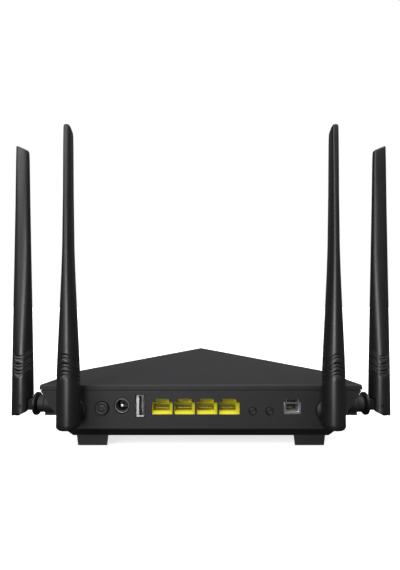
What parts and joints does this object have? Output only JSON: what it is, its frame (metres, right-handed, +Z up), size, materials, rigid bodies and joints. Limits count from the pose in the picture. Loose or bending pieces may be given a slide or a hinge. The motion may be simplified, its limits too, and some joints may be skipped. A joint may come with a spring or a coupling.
{
  "type": "wireless router",
  "caption": "Desktop wireless router: faceted low black case on block feet, port row on the rear, tall tapered antennas that turn and fold, push buttons that travel.",
  "frame": {"origin": "centre of the bounding box at table level, antennas upright", "axes": "+X along the width, to the right seen from behind; +Y forward, from the ports to the pointed front; +Z up"},
  "size_m": [0.2514, 0.1468, 0.1955],
  "materials": {
    "case_plastic": "fine spark-eroded texture, satin",
    "button_plastic": "smooth satin",
    "antenna_plastic": "smooth satin with a soft highlight",
    "swivel_plastic": "smooth satin",
    "foot_rubber": "dull",
    "screw_steel": "zinc plated",
    "label_foil": "silver foil, blank",
    "board_green": "solder mask",
    "switch_plastic": "moulded",
    "plated_metal": "bright nickel plate",
    "usb_white": "moulded",
    "gold_contact": "gold flash",
    "lan_yellow": "moulded, semi-gloss",
    "chip_black": "moulded epoxy",
    "line_grey": "moulded, slightly translucent look",
    "heat_sink_aluminium": "as extruded",
    "capacitor_sleeve": "shrink sleeve",
    "led_white": "moulded",
    "light_pipe_clear": "clear, frosted ends",
    "lead_jacket": "extruded jacket",
    "radiator_brass": "etched copper on board"
  },
  "bodies": {
    "case": {"top_cover": "case_plastic", "bottom_case": "case_plastic", "rubber_feet": "foot_rubber", "case_screws": "screw_steel", "rating_plate": "label_foil", "main_board": "board_green", "board_screws": "screw_steel", "power_switch": "switch_plastic", "power_inlet_body": "switch_plastic", "power_inlet_pin": "plated_metal", "usb_shell": "plated_metal", "usb_tongue": "usb_white", "usb_contacts": "gold_contact", "lan_socket_block": "lan_yellow", "lan_contacts": "gold_contact", "lan_magnetics": "chip_black", "tact_switches": "switch_plastic", "line_socket_body": "line_grey", "line_contacts": "gold_contact", "processor": "chip_black", "heat_sink": "heat_sink_aluminium", "radio_shields": "plated_metal", "memory_chips": "chip_black", "power_coils": "chip_black", "capacitors": "capacitor_sleeve", "crystals": "plated_metal", "status_leds": "led_white", "light_pipe": "light_pipe_clear", "antenna_sockets": "gold_contact", "antenna_leads": "lead_jacket"},
    "power_button": {"power_button": "button_plastic"},
    "wps_button": {"wps_button": "button_plastic"},
    "reset_button": {"reset_button": "button_plastic"},
    "left_side_base": {"left_side_swivel": "swivel_plastic", "left_side_clip": "screw_steel"},
    "left_side_antenna": {"left_side_sleeve": "antenna_plastic", "left_side_pin": "screw_steel", "left_side_radiator": "radiator_brass"},
    "right_side_base": {"right_side_swivel": "swivel_plastic", "right_side_clip": "screw_steel"},
    "right_side_antenna": {"right_side_sleeve": "antenna_plastic", "right_side_pin": "screw_steel", "right_side_radiator": "radiator_brass"},
    "left_rear_base": {"left_rear_swivel": "swivel_plastic", "left_rear_clip": "screw_steel"},
    "left_rear_antenna": {"left_rear_sleeve": "antenna_plastic", "left_rear_pin": "screw_steel", "left_rear_radiator": "radiator_brass"},
    "right_rear_base": {"right_rear_swivel": "swivel_plastic", "right_rear_clip": "screw_steel"},
    "right_rear_antenna": {"right_rear_sleeve": "antenna_plastic", "right_rear_pin": "screw_steel", "right_rear_radiator": "radiator_brass"}
  },
  "joints": [
    {"name": "left_side_turn", "type": "hinge", "parent": "case", "child": "left_side_base", "pos_m": [-0.1069, -0.03852, 0.0241], "axis": [1, 0, 0], "range_deg": [-90, 90]},
    {"name": "left_side_fold", "type": "hinge", "parent": "left_side_base", "child": "left_side_antenna", "pos_m": [-0.1178, -0.03852, 0.0241], "axis": [0, -1, 0], "range_deg": [0, 90]},
    {"name": "right_side_turn", "type": "hinge", "parent": "case", "child": "right_side_base", "pos_m": [0.1069, -0.03852, 0.0241], "axis": [1, 0, 0], "range_deg": [-90, 90]},
    {"name": "right_side_fold", "type": "hinge", "parent": "right_side_base", "child": "right_side_antenna", "pos_m": [0.1178, -0.03852, 0.0241], "axis": [0, 1, 0], "range_deg": [0, 90]},
    {"name": "left_rear_turn", "type": "hinge", "parent": "case", "child": "left_rear_base", "pos_m": [-0.0787, -0.05462, 0.0241], "axis": [0, 1, 0], "range_deg": [-90, 50]},
    {"name": "left_rear_fold", "type": "hinge", "parent": "left_rear_base", "child": "left_rear_antenna", "pos_m": [-0.0787, -0.06552, 0.0241], "axis": [1, 0, 0], "range_deg": [0, 90]},
    {"name": "right_rear_turn", "type": "hinge", "parent": "case", "child": "right_rear_base", "pos_m": [0.0787, -0.05462, 0.0241], "axis": [0, 1, 0], "range_deg": [-50, 90]},
    {"name": "right_rear_fold", "type": "hinge", "parent": "right_rear_base", "child": "right_rear_antenna", "pos_m": [0.0787, -0.06552, 0.0241], "axis": [1, 0, 0], "range_deg": [0, 90]},
    {"name": "power_push", "type": "slide", "parent": "case", "child": "power_button", "axis": [0, 1, 0], "range_m": [0, 0.002], "stiffness_N_per_m": 600, "springref_m": -0.0015},
    {"name": "wps_push", "type": "slide", "parent": "case", "child": "wps_button", "axis": [0, 1, 0], "range_m": [0, 0.0006], "stiffness_N_per_m": 900, "springref_m": -0.0005},
    {"name": "reset_push", "type": "slide", "parent": "case", "child": "reset_button", "axis": [0, 1, 0], "range_m": [0, 0.0006], "stiffness_N_per_m": 900, "springref_m": -0.0005}
  ]
}
